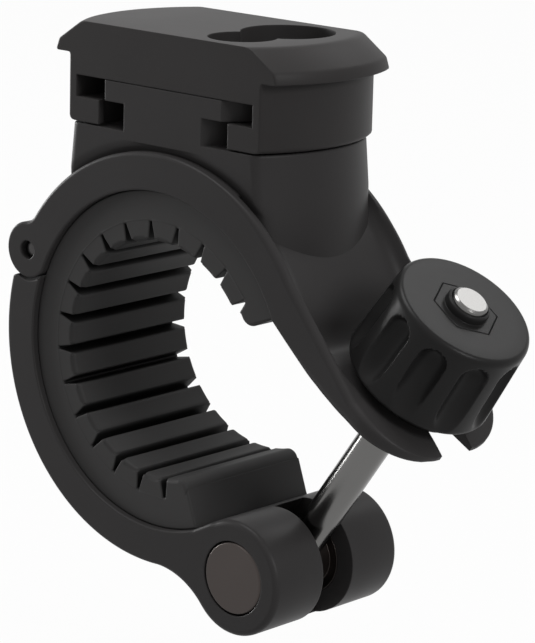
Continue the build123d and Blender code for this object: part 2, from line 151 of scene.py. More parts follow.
@dataclass(frozen=True)
class Finish:
    """A surface: its colour, how it shines and the fine grain that breaks its highlights."""

    slot: Slot
    colour: Colour
    roughness: float
    metallic: float = 0.0
    specular: float = 0.5
    cloud_size: float = 12.0
    grain_size: float = 0.25
    grain_height: float = 0.004
    grain_strength: float = 0.5
    mottle: float = 0.08
    edge_round: float = 0.25
    # Name of a mesh attribute of painted shade that darkens the colour; empty for none.
    shade: str = ""

    def material(self) -> bpy.types.Material:
        """The node material of this finish, made once and shared by name."""
        name = f"{self.slot.value}_look"
        known = bpy.data.materials.get(name)
        if known:
            return known
        made = bpy.data.materials.new(name)
        made.use_nodes = True
        tree = made.node_tree
        link = tree.links.new
        surface = tree.nodes["Principled BSDF"]
        surface.inputs["Metallic"].default_value = self.metallic
        surface.inputs["Specular IOR Level"].default_value = self.specular
        place = tree.nodes.new("ShaderNodeTexCoord").outputs["Object"]
        cloud = add_node(tree, "ShaderNodeTexNoise", Scale=1.0 / (self.cloud_size * MM), Detail=4.0)
        link(place, cloud.inputs["Vector"])
        low, high = 1.0 - self.mottle, 1.0 + self.mottle
        rough = self.roughness
        gloss = add_node(tree, "ShaderNodeMapRange", To_Min=rough * low, To_Max=rough * high)
        link(cloud.outputs["Fac"], gloss.inputs["Value"])
        link(gloss.outputs["Result"], surface.inputs["Roughness"])
        tint = tree.nodes.new("ShaderNodeMix")
        tint.data_type = "RGBA"
        tint.inputs["A"].default_value = (*(c * low for c in self.colour), 1.0)
        tint.inputs["B"].default_value = (*(c * high for c in self.colour), 1.0)
        link(cloud.outputs["Fac"], tint.inputs["Factor"])
        link(self.shaded(tree, tint.outputs["Result"]), surface.inputs["Base Color"])
        grain = add_node(tree, "ShaderNodeTexNoise", Scale=1.0 / (self.grain_size * MM), Detail=2.0)
        link(place, grain.inputs["Vector"])
        edge = add_node(tree, "ShaderNodeBevel", Radius=self.edge_round * MM)
        edge.samples = 6
        height = self.grain_height * MM
        bump = add_node(tree, "ShaderNodeBump", Strength=self.grain_strength, Distance=height)
        link(grain.outputs["Fac"], bump.inputs["Height"])
        link(edge.outputs["Normal"], bump.inputs["Normal"])
        link(bump.outputs["Normal"], surface.inputs["Normal"])
        return made

    def shaded(self, tree: bpy.types.NodeTree, colour: bpy.types.NodeSocket) -> bpy.types.NodeSocket:
        """Darkens the colour by painted shade that the mesh stores, where the finish names its attribute.

        Args:
            tree: the material's nodes.
            colour: the plain colour.

        Returns:
            The colour's socket.
        """
        if not self.shade:
            return colour
        depth = tree.nodes.new("ShaderNodeAttribute")
        depth.attribute_name = self.shade
        darker = tree.nodes.new("ShaderNodeVectorMath")
        darker.operation = "SCALE"
        tree.links.new(colour, darker.inputs[0])
        tree.links.new(depth.outputs["Fac"], darker.inputs["Scale"])
        return darker.outputs["Vector"]


SHELL = Finish(Slot.CLAMP, (0.0245, 0.0235, 0.0237), roughness=0.4, specular=0.08)
CAP = Finish(Slot.HEAD, (0.0255, 0.0243, 0.0243), roughness=0.44, specular=0.06)
GRIP = Finish(Slot.KNOB, (0.0105, 0.0103, 0.0103), roughness=0.34, specular=0.09)
# The rubber's colour carries painted shade down in the liner's grooves.
RUBBER = Finish(
    Slot.RUBBER, (0.029, 0.0285, 0.0285), roughness=0.55, specular=0.1, edge_round=0.15, shade=PAINTED_GROOVE_SHADE,
)
SHANK = Finish(
    Slot.BOLT, (0.14, 0.138, 0.135), roughness=0.2, metallic=1.0, grain_height=0.002, mottle=0.04,
    edge_round=0.1,
)
BARREL = Finish(Slot.BARREL, (0.058, 0.05, 0.047), roughness=0.36, metallic=1.0, edge_round=0.12)
PIN = Finish(Slot.PIN, (0.06, 0.058, 0.058), roughness=0.3, metallic=1.0, edge_round=0.1)


def polar(radius: float, angle: float, centre: Point = ORIGIN) -> Point:
    """Point at an angle, in degrees from +X, about a centre."""
    return (centre[0] + radius * cos(radians(angle)), centre[1] + radius * sin(radians(angle)))


def unwrap(angle: float, near: float) -> float:
    """The same angle, turned by whole turns to lie within half a turn of another."""
    return angle + 360.0 * round((near - angle) / 360.0)


def bearing(centre: Point, point: Point, near: float = 0.0) -> float:
    """Angle of a point about a centre, in degrees from +X, within half a turn of another angle."""
    return unwrap(degrees(atan2(point[1] - centre[1], point[0] - centre[0])), near)


def apart(one: Point, other: Point) -> float:
    """Distance between two points."""
    return hypot(other[0] - one[0], other[1] - one[1])


def arc(centre: Point, radius: float, start: float, end: float, step: float = 0.45) -> list[Point]:
    """Points along an arc, both ends included.

    Args:
        centre: the arc's centre.
        radius: its radius.
        start: first angle in degrees.
        end: last angle in degrees; below start for a clockwise arc.
        step: longest distance between points.

    Returns:
        The points in order.
    """
    count = max(2, ceil(abs(radians(end - start)) * radius / step))
    return [polar(radius, start + (end - start) * i / count, centre) for i in range(count + 1)]


def line(start: Point, end: Point, step: float = 0.45) -> list[Point]:
    """Points along a straight run, both ends included.

    Args:
        start: first point.
        end: last point.
        step: longest distance between points.

    Returns:
        The points in order.
    """
    across, up = end[0] - start[0], end[1] - start[1]
    count = max(1, ceil(apart(start, end) / step))
    return [(start[0] + across * i / count, start[1] + up * i / count) for i in range(count + 1)]


def meet(first: Point, reach: float, second: Point, other: float, left: bool) -> Point:
    """Finds where two circles meet.

    Args:
        first: centre of the one circle.
        reach: its radius.
        second: centre of the other circle.
        other: that circle's radius.
        left: whether the point wanted lies on the left of the way from first to second.

    Returns:
        The point.
    """
    gap = apart(first, second)
    along = (reach**2 - other**2 + gap**2) / (2 * gap)
    side = sqrt(max(reach**2 - along**2, 0.0)) * (1 if left else -1)
    ux, uz = (second[0] - first[0]) / gap, (second[1] - first[1]) / gap
    return (first[0] + along * ux - side * uz, first[1] + along * uz + side * ux)


def unit(value: float) -> float:
    """The value, held between 0 and 1."""
    return min(1.0, max(0.0, value))


def sag(radius: float, across: float) -> float:
    """How far a circle has fallen from its top at a distance across, its radius at most."""
    return radius - sqrt(max(0.0, radius**2 - across**2))


def blend_low(a: float, b: float, soft: float) -> float:
    """The lower of two heights, rounded where they cross."""
    share = max(0.0, 1.0 - abs(a - b) / soft)
    return min(a, b) - share * share * soft / 4


def blend_high(a: float, b: float, soft: float) -> float:
    """The higher of two heights, rounded where they cross."""
    return -blend_low(-a, -b, soft)


def eased(before: Point, corner: Point, after: Point, radius: float) -> list[Point]:
    """Rounds a corner between two straight runs.

    Args:
        before: where the first run starts.
        corner: where the runs meet.
        after: where the second run ends.
        radius: the rounding's radius.

    Returns:
        The arc's points.
    """
    first = Vector((before[0] - corner[0], before[1] - corner[1])).normalized()
    second = Vector((after[0] - corner[0], after[1] - corner[1])).normalized()
    half = acos(max(-1.0, min(1.0, first.dot(second)))) / 2
    reach = radius / tan(half)
    middle = Vector(corner) + (first + second).normalized() * (radius / sin(half))
    start, end = Vector(corner) + first * reach, Vector(corner) + second * reach
    centre = (middle.x, middle.y)
    begin = bearing(centre, (start.x, start.y))
    return arc(centre, radius, begin, bearing(centre, (end.x, end.y), begin))


def plan_ring(radius: float, half_depth: float, corner: float) -> list[Point]:
    """Plan outline of a disc cut flat on two sides, counter-clockwise.

    Args:
        radius: the disc's radius.
        half_depth: distance of each flat side from the middle.
        corner: radius of the rounded corners.

    Returns:
        The points, as many for every disc.
    """
    ends, bends, flats = 16, 8, 36
    cy = half_depth - corner
    cx = sqrt((radius - corner) ** 2 - cy**2)
    turn = degrees(atan2(cy, cx))
    quarter = [polar(radius, turn * i / ends) for i in range(ends)]
    quarter += [polar(corner, turn + (90 - turn) * i / bends, (cx, cy)) for i in range(bends + 1)]
    quarter += [(cx * (1 - i / flats), half_depth) for i in range(1, flats + 1)]
    ring = quarter[:-1]
    ring += [(-x, y) for x, y in reversed(quarter)][:-1]
    ring += [(-x, -y) for x, y in quarter][:-1]
    ring += [(x, -y) for x, y in reversed(quarter)][:-1]
    return ring


def bulged(end_half: float, middle_half: float, half_depth: float) -> list[Point]:
    """Plan outline between two flat faces with bulging ends.

    Args:
        end_half: half the length at the flat faces.
        middle_half: half the length in the middle.
        half_depth: distance of each flat face from the middle.

    Returns:
        The points, counter-clockwise.
    """
    steps = 32
    rise = middle_half - end_half
    radius = (rise**2 + half_depth**2) / (2 * rise)
    centre = (middle_half - radius, 0)
    turn = degrees(asin(half_depth / radius))
    right = [polar(radius, -turn + 2 * turn * i / steps, centre) for i in range(steps + 1)]
    return right + [(-x, -y) for x, y in right]


class Outline:
    """A closed outline of the front view whose points each carry the rounding of the rim there."""

    def __init__(self, *runs: tuple[Sequence[Point], Rounding]) -> None:
        """Joins runs of points, leaving out points that repeat the one before.

        Args:
            runs: each run's points in order, with the rim's rounding there or a rule that gives it.
        """
        self.points: list[Point] = []
        self.rounds: list[float] = []
        for points, rounding in runs:
            for point in points:
                if self.points and apart(point, self.points[-1]) < SAME_PLACE:
                    continue
                self.points.append(point)
                self.rounds.append(rounding(point) if callable(rounding) else rounding)
        if apart(self.points[0], self.points[-1]) < SAME_PLACE:
            self.points.pop()
            self.rounds.pop()

    def inward(self) -> list[Point]:
        """Way into the material at each point, longer at corners so that an offset keeps its distance."""
        before, after = self.points[-1:] + self.points[:-1], self.points[1:] + self.points[:1]
        area = sum(a[0] * b[1] - b[0] * a[1] for a, b in zip(self.points, after))
        turn = 1.0 if area > 0 else -1.0
        ways = []
        for last, here, following in zip(before, self.points, after):
            first = Vector((here[0] - last[0], here[1] - last[1])).normalized()
            second = Vector((following[0] - here[0], following[1] - here[1])).normalized()
            normal = Vector((-(first.y + second.y), first.x + second.x)) * turn
            normal.normalize()
            across = max(CORNER_LIMIT, normal.dot(Vector((-first.y, first.x)) * turn))
            ways.append((normal.x / across, normal.y / across))
        return ways

    def solid(self, half_width: float, stops: Sequence[float], steps: int) -> "Shape":
        """Extrudes the outline along Y to both sides, its rims rounded.

        Args:
            half_width: half the extrusion's length.
            stops: shares of the way from the middle to a rim where more rings lie, rising from 0.
            steps: number of bands in each rounded rim.

        Returns:
            The closed solid.
        """
        ways = self.inward()
        front: list[list[Solid]] = []
        for i in range(steps + 1):
            shift, rise = 1 - sin(pi / 2 * i / steps), 1 - cos(pi / 2 * i / steps)
            front.append([
                (p[0] + w[0] * r * shift, -half_width + r * rise, p[1] + w[1] * r * shift)
                for p, w, r in zip(self.points, ways, self.rounds)
            ])
        shares = [-share for share in reversed(stops) if share > 0] + list(stops)
        middle = [
            [(p[0], (half_width - r) * share, p[1]) for p, r in zip(self.points, self.rounds)]
            for share in shares
        ]
        back = [[(x, -y, z) for x, y, z in ring] for ring in reversed(front)]
        return Shape.skin(front + middle + back)


@dataclass
class Shape:
    """A mesh in the making: corners in millimetres and faces that name them."""

    corners: list[Solid]
    faces: list[tuple[int, ...]]

    @staticmethod
    def skin(rings: Sequence[Sequence[Solid]]) -> "Shape":
        """Skins closed rings, with a face over each end.

        Args:
            rings: the rings in order, with as many corners each.

        Returns:
            The closed shape.
        """
        size, last = len(rings[0]), len(rings) - 1
        corners = [corner for ring in rings for corner in ring]
        faces: list[tuple[int, ...]] = []
        for k in range(last):
            for i in range(size):
                j = (i + 1) % size
                faces.append((k * size + i, k * size + j, (k + 1) * size + j, (k + 1) * size + i))
        faces.append(tuple(reversed(range(size))))
        faces.append(tuple(last * size + i for i in range(size)))
        return Shape(corners, faces)

    def warp(self, move: Callable[[Solid], Solid]) -> "Shape":
        """Moves each corner by a rule."""
        self.corners = [move(corner) for corner in self.corners]
        return self

    def mesh(self, name: str, crease: float) -> bpy.types.Mesh:
        """Makes the Blender mesh in metres, its faces outward.

        Args:
            name: the mesh's name.
            crease: angle in degrees above which an edge stays sharp.

        Returns:
            The mesh.
        """
        work = bmesh.new()
        corners = [work.verts.new((x * MM, y * MM, z * MM)) for x, y, z in self.corners]
        work.verts.ensure_lookup_table()
        for face in self.faces:
            work.faces.new([corners[i] for i in face])
        bmesh.ops.remove_doubles(work, verts=work.verts, dist=WELD * MM)
        wide = [face for face in work.faces if len(face.verts) > 4]
        bmesh.ops.triangulate(work, faces=wide, quad_method="BEAUTY", ngon_method="BEAUTY")
        bmesh.ops.recalc_face_normals(work, faces=work.faces)
        made = bpy.data.meshes.new(name)
        work.to_mesh(made)
        work.free()
        crease_mesh(made, crease)
        return made

    def piece(self, name: str, crease: float = CREASE) -> bpy.types.Object:
        """Makes the object and links it to the scene.

        Args:
            name: the object's name.
            crease: angle in degrees above which an edge stays sharp.

        Returns:
            The object.
        """
        made = bpy.data.objects.new(name, self.mesh(name, crease))
        bpy.context.scene.collection.objects.link(made)
        return made


def crease_mesh(mesh: bpy.types.Mesh, angle: float) -> None:
    """Shades a mesh smooth but for its flat sides and its sharp edges.

    Args:
        mesh: the mesh.
        angle: angle in degrees above which an edge stays sharp.
    """
    work = bmesh.new()
    work.from_mesh(mesh)
    work.normal_update()
    for face in work.faces:
        face.smooth = abs(face.normal.y) < FLAT_SIDE
    for edge in work.edges:
        edge.smooth = not edge.is_manifold or edge.calc_face_angle(0.0) < radians(angle)
    work.to_mesh(mesh)
    work.free()


def settle(piece: bpy.types.Object, crease: float = CREASE) -> None:
    """Turns a piece's modifiers into its mesh.

    Args:
        piece: the object.
        crease: angle in degrees above which an edge stays sharp.
    """
    seen = piece.evaluated_get(bpy.context.evaluated_depsgraph_get())
    solid = bpy.data.meshes.new_from_object(seen)
    piece.modifiers.clear()
    piece.data = solid
    crease_mesh(solid, crease)


def discard(piece: bpy.types.Object) -> None:
    """Deletes a helper object and its mesh."""
    spent = piece.data
    bpy.data.objects.remove(piece)
    bpy.data.meshes.remove(spent)


def carve(
    piece: bpy.types.Object, tools: Sequence[Shape], crease: float = CREASE, action: str = "DIFFERENCE",
) -> bpy.types.Object:
    """Cuts tools out of a piece, or adds them to it, one after the other.

    Args:
        piece: the object to work on.
        tools: the solids.
        crease: angle in degrees above which an edge stays sharp.
        action: the Boolean's operation.

    Returns:
        The piece.
    """
    cutters = []
    for number, tool in enumerate(tools):
        cutter = tool.piece(f"{piece.name}_cut_{number}")
        step = piece.modifiers.new(f"cut_{number}", "BOOLEAN")
        step.operation = action
        step.solver = "EXACT"
        step.object = cutter
        cutters.append(cutter)
    settle(piece, crease)
    for cutter in cutters:
        discard(cutter)
    return piece


def prism(points: Sequence[Point], half_width: float) -> Shape:
    """A plain extrusion of a front view outline to both sides."""
    return Shape.skin([[(x, y, z) for x, z in points] for y in (-half_width, half_width)])


def block(half: float, low: float, high: float, half_width: float) -> Shape:
    """A square bar along the handlebar, centred over the bore."""
    return prism([(-half, low), (half, low), (half, high), (-half, high)], half_width)


def upright(plan: Sequence[Point], low: float, high: float) -> Shape:
    """A plan outline raised from one level to another."""
    return Shape.skin([[(x, y, z) for x, y in plan] for z in (low, high)])


def turned(profile: Sequence[Point], place: Placer, steps: int) -> Shape:
    """A closed solid of revolution.

    Args:
        profile: (radius, height) points from one end to the other.
        place: puts a point given across, along and up the axis into space.
        steps: number of facets round the axis.

    Returns:
        The solid.
    """
    turns = [2 * pi * i / steps for i in range(steps)]
    rings = []
    for radius, height in profile:
        reach = max(radius, WELD)
        rings.append([place(reach * cos(turn), reach * sin(turn), height) for turn in turns])
    return Shape.skin(rings)


def along_bar(centre: Point) -> Placer:
    """Places a turned solid on an axis along the bar."""
    return lambda across, up, height: (centre[0] + across, height, centre[1] + up)


def mirrored(profile: list[Point]) -> list[Point]:
    """A profile that ends at height 0, followed by its own mirror image."""
    return profile + [(radius, -height) for radius, height in reversed(profile[:-1])]


def hexagon(half: float) -> list[Point]:
    """Corners of a hexagon, from half its width across the flats."""
    return [polar(half / cos(radians(30)), 60 * k) for k in range(6)]


def paint(piece: bpy.types.Object, finish: Finish) -> None:
    """Gives a piece a finish as its only material."""
    piece.data.materials.clear()
    piece.data.materials.append(finish.material())


def dress(piece: bpy.types.Object, finish: Finish, body: Body, *nodes: str) -> None:
    """Gives a piece its material and slot, and lets it ride on its body.

    Args:
        piece: the object.
        finish: its surface.
        body: the moving body that carries it.
        nodes: CAD nodes that it stands for.
    """
    paint(piece, finish)
    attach(piece, body.value)
    if nodes:
        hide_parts(*nodes)
    LOG.info("%s: %d faces on %s", piece.name, len(piece.data.polygons), body.value)


@dataclass(frozen=True)
class ClampSizes:
    """Sizes that the clamp's two halves share."""

    seat_radius: float = 22.75
    outer_radius: float = 27.75
    half_width: float = 12.05
    hinge_angle: float = 155.0
    hinge_inset: float = 1.35
    knuckle_radius: float = 3.85
    relief_radius: float = 4.2
    root_round: float = 2.6
    middle_half: float = 4.1
    pin_radius: float = 1.25
    barrel_radius: float = 5.0
    lug_radius: float = 7.8
    lug_angle: float = -60.2
    lug_sink: float = 0.2
    tilt: float = 35.0
    fit: float = 0.05

    @property
    def hinge(self) -> Point:
        """Centre of the hinge pin."""
        return polar(self.outer_radius - self.hinge_inset, self.hinge_angle)

    @property
    def barrel(self) -> Point:
        """Centre of the cross barrel."""
        return polar(self.seat_radius + self.lug_radius - self.lug_sink, self.lug_angle)

    def up_bolt(self, across: float, height: float) -> Point:
        """Point across and up from the barrel in the bolt's own directions."""
        s, c = sin(radians(self.tilt)), cos(radians(self.tilt))
        return (self.barrel[0] + across * c + height * s, self.barrel[1] - across * s + height * c)

    def bolt_frame(self, x: float, z: float) -> Point:
        """Across and height, from the barrel, of a point of the front view."""
        s, c = sin(radians(self.tilt)), cos(radians(self.tilt))
        right, up = x - self.barrel[0], z - self.barrel[1]
        return (right * c - up * s, right * s + up * c)

    def on_bolt(self, across: float, along: float, height: float) -> Solid:
        """Point in space from the bolt's own directions: down the slope, along the bar, up the bolt."""
        x, z = self.up_bolt(across, height)
        return (x, along, z)

    def stack(self, *levels: tuple[Sequence[Point], float]) -> Shape:
        """Skins plans of equal length, each at its own height up the bolt."""
        return Shape.skin([[self.on_bolt(x, y, height) for x, y in plan] for plan, height in levels])


SIZES = ClampSizes()


@dataclass
class UpperClamp:
    """The fixed half: band, hinge knuckles, forked arm, pedestal and tongue."""

    sizes: ClampSizes = SIZES
    rim_round: float = 0.45
    inner_round: float = 0.225
    knuckle_round: float = 0.27
    arm_round: float = 0.95
    under_round: float = 1.5
    arm_start: float = 32.0
    arm_left: float = 8.0
    arm_low: float = 27.0
    arm_high: float = 24.0
    swell_start: float = 33.0
    swell_run: float = 12.0
    tip_run: float = 9.0
    lip_angle: float = 24.2
    lip_gap: float = 0.2
    lip_run: float = 5.0
    under_run: float = 6.0
    under_bend: float = 20.0
    under_fade: float = 10.0
    fork_top: float = 33.8
    fork_thickness: float = 3.4
    fork_tip: float = 10.3
    tip_thickness: float = 0.65
    tip_top_round: float = 0.325
    tip_under_round: float = 0.26
    taper_run: float = 1.0
    tip_round: float = 8.5
    slot_half: float = 2.95
    slot_levels: Point = (26.0, 38.0)
    gap_fit: float = 0.2
    dish_radius: float = 26.2
    dish_half: float = 11.05
    dish_side: float = 2.4
    dish_blend: float = 2.4
    dish_end: float = -4.0
    dish_depth: float = 2.4
    dish_ease: float = 1.2
    rim_soft: float = 0.5
    half_depth: float = 11.0
    seam: float = 29.7
    seam_drops: tuple[float, ...] = (0.0, 0.06, 0.16)
    seam_ease: float = 0.14
    seam_run: float = 0.2
    ring_gap: float = 0.3
    ring_count: int = 50
    top_radius: float = 19.6
    foot_radius: float = 21.0
    foot_level: float = 14.0
    foot_sink: float = 0.4
    corner: float = 1.5
    tuck: float = 0.55
    tuck_width: float = 1.7
    stem: Point = (6.95, 11.2)
    stem_levels: Point = (28.5, 34.5)
    flange: Point = (10.42, 15.5)
    flange_levels: Point = (33.3, 36.04)

    def stops(self) -> list[float]:
        """Shares of the half width where rings lie: wide steps in the middle, narrow ones by the rims."""
        return [0.0, 0.12, 0.24, 0.36, 0.48, 0.58, 0.66] + [0.7 + 0.018 * k for k in range(16)]

    def top_line(self) -> list[Point]:
        """The arm's upper line, from the fork's tip back to the band."""
        s = self.sizes
        tip_angle = 90 - s.tilt - degrees(asin(self.fork_tip / self.fork_top))
        crown = arc(s.barrel, self.fork_top, tip_angle, 90 - s.tilt)
        return crown + line(crown[-1], polar(s.outer_radius, self.arm_start))

    def tip_under(self) -> float:
        """Height of the fork's tip at its underside."""
        return sqrt(self.fork_top**2 - self.fork_tip**2) - self.tip_thickness

    def under_line(self) -> list[Point]:
        """The arm's underside, from the liner's lip to the fork's tip, its two bends eased."""
        s = self.sizes
        under = self.fork_top - self.fork_thickness
        lip = polar(s.seat_radius, self.lip_angle)
        knee, taper = s.up_bolt(-self.under_run, under), s.up_bolt(-self.taper_run, under)
        tip = s.up_bolt(self.fork_tip, self.tip_under())
        first = eased(lip, knee, taper, self.under_bend)
        second = eased(knee, taper, tip, self.under_bend)
        straight = line(first[-1], second[0])
        return line(lip, first[0]) + first + straight + second + line(second[-1], tip)

    def outline(self) -> Outline:
        """Front view outline, counter-clockwise from the tip's lower corner."""
        s = self.sizes
        band, knuckle = s.outer_radius + s.root_round, s.knuckle_radius + s.root_round
        root = meet(ORIGIN, band, s.hinge, knuckle, left=False)
        corner = meet(ORIGIN, s.seat_radius, s.hinge, s.knuckle_radius, left=True)
        band_end = bearing(ORIGIN, root)
        knuckle_start = bearing(s.hinge, root)
        knuckle_end = bearing(s.hinge, corner, knuckle_start + 180)
        seat_start = bearing(ORIGIN, corner, 160)
        root_end = unwrap(knuckle_start + 180, band_end - 180)
        return Outline(
            ([s.up_bolt(self.fork_tip, self.tip_under())], self.tip_under_round),
            (self.top_line(), self.top_rounding),
            (arc(ORIGIN, s.outer_radius, self.arm_start, band_end), self.top_rounding),
            (arc(root, s.root_round, unwrap(band_end + 180, 0), root_end), self.rim_round),
            (arc(s.hinge, s.knuckle_radius, knuckle_start, knuckle_end), self.knuckle_round),
            (arc(ORIGIN, s.seat_radius, seat_start, self.lip_angle), self.inner_round),
            (self.under_line(), self.under_rounding),
        )

    def under_rounding(self, point: Point) -> float:
        """Rounding of the arm's lower rim: full along the arm, small at the liner and the tip."""
        across = self.sizes.bolt_frame(*point)[0]
        start = unit((hypot(*point) - self.sizes.seat_radius - self.lip_gap) / self.lip_run)
        share = unit((across - self.fork_tip + self.under_fade) / self.under_fade)
        full = self.under_round + (self.tip_under_round - self.under_round) * share
        return self.inner_round + (full - self.inner_round) * start

    def top_rounding(self, point: Point) -> float:
        """Rounding of the arm's upper rim: soft beside the dish, tighter on the band and towards the tip."""
        across = self.sizes.bolt_frame(*point)[0]
        if point[0] <= self.arm_left:
            return self.rim_round
        rise = unit((across + self.swell_start) / self.swell_run)
        fall = unit((self.fork_tip - across) / self.tip_run)
        return self.tip_top_round + (self.arm_round - self.tip_top_round) * min(rise, fall)

    def top_height(self, across: float, radius: float) -> float:
        """Height of the arm's upper line across the bolt.

        Args:
            across: distance down the slope from the bolt's axis.
            radius: the band's radius; a smaller one gives the circle that such a band follows.

        Returns:
            The height up the bolt.
        """
        s = self.sizes
        centre = s.bolt_frame(0.0, 0.0)
        start = s.bolt_frame(*polar(s.outer_radius, self.arm_start))
        if across <= start[0] or radius < s.outer_radius:
            return centre[1] + sqrt(max(0.0, radius**2 - (across - centre[0]) ** 2))
        if across >= 0:
            return sqrt(self.fork_top**2 - across**2)
        return self.fork_top + (start[1] - self.fork_top) * across / start[0]

    def dish_floor(self, across: float, side: float) -> float:
        """Height of the dish's floor or side.

        Args:
            across: distance down the slope from the bolt's axis.
            side: distance from the middle, along the bar.

        Returns:
            The height up the bolt.
        """
        floor = sqrt(self.fork_top**2 - across**2)
        if across < self.dish_end:
            floor = blend_high(floor, self.top_height(across, self.dish_radius), self.dish_blend)
        inset = side - (self.dish_half - self.dish_side)
        if inset >= self.dish_side:
            return floor + 2 * self.dish_side
        return floor + sag(self.dish_side, max(0.0, inset))

    def dished(self, corner: Solid) -> Solid:
        """Narrows the fork's tip and lowers the arm's upper side between its two rims.

        Args:
            corner: a corner of the extruded half.

        Returns:
            Where the corner goes.
        """
        s = self.sizes
        x, y, z = corner
        across, height = s.bolt_frame(x, z)
        if height < self.arm_low or z > self.arm_high or x < self.arm_left:
            return corner
        bend = self.fork_tip - self.tip_round
        if across > bend:
            y *= 1 - sag(self.tip_round, across - bend) / s.half_width
        if across > 0:
            return (x, y, z)
        top = self.top_height(across, s.outer_radius)
        drop = blend_low(top, self.dish_floor(across, abs(y)), self.rim_soft) - top
        share = unit((height - top + self.dish_depth) / self.dish_ease)
        px, pz = s.up_bolt(across, height + min(0.0, drop) * share)
        return (px, y, pz)

    def pedestal(self) -> Shape:
        """The pedestal: tapering round ends, flat faces that tuck in behind the band's rim."""
        bed = (self.sizes.seat_radius + self.sizes.outer_radius) / 2
        taper = (self.foot_radius - self.top_radius) / (self.seam - self.foot_level)
        rings = []
        for drop in [*self.seam_drops, *(self.ring_gap * k for k in range(1, self.ring_count + 1))]:
            ease = self.seam_ease * max(0.0, 1 - drop / self.seam_run) ** 2
            ring = plan_ring(self.top_radius + taper * drop - ease, self.half_depth, self.corner)
            rings.append([
                self.tucked(x, y, max(self.seam - drop, sqrt(max(0.0, bed**2 - x**2)))) for x, y in ring
            ])
        rings.append([(x, y, z - self.foot_sink) for x, y, z in rings[-1]])
        return Shape.skin(rings)

    def tucked(self, x: float, y: float, z: float) -> Solid:
        """Draws a flat face of the pedestal in where it comes down to the band."""
        near = max(0.0, 1 - max(0.0, hypot(x, z) - self.sizes.outer_radius) / self.tuck_width)
        draw = self.tuck * near**2 * unit((abs(y) - self.half_depth + self.corner) / self.corner)
        return (x, y - draw if y > 0 else y + draw, z)

    def build(self) -> None:
        """Builds the half, cuts its slot, hinge gap and pin hole, and adds the pedestal with its tongue."""
        s, half = self.sizes, self.slot_half
        outline = self.outline().solid(s.half_width, self.stops(), steps=5)
        body = outline.warp(self.dished).piece("upper_shell")
        slot = [(self.fork_tip * 2, -half), (self.fork_tip * 2, half)] + arc(ORIGIN, half, 90, 270, 0.25)
        tools = [
            s.stack(*((slot, height) for height in self.slot_levels)),
            prism(arc(s.hinge, s.relief_radius, 0, 357, 0.3), s.middle_half + self.gap_fit),
            prism(arc(s.hinge, s.pin_radius + s.fit, 0, 350, 0.15), s.half_width * 2),
        ]
        carve(body, tools)
        dress(body, SHELL, Body.CLAMP, "upper_clamp")
        tongue = [
            upright(bulged(*self.stem, self.half_depth), *self.stem_levels),
            upright(bulged(*self.flange, self.half_depth), *self.flange_levels),
        ]
        dress(carve(self.pedestal().piece("pedestal"), tongue, action="UNION"), SHELL, Body.CLAMP)


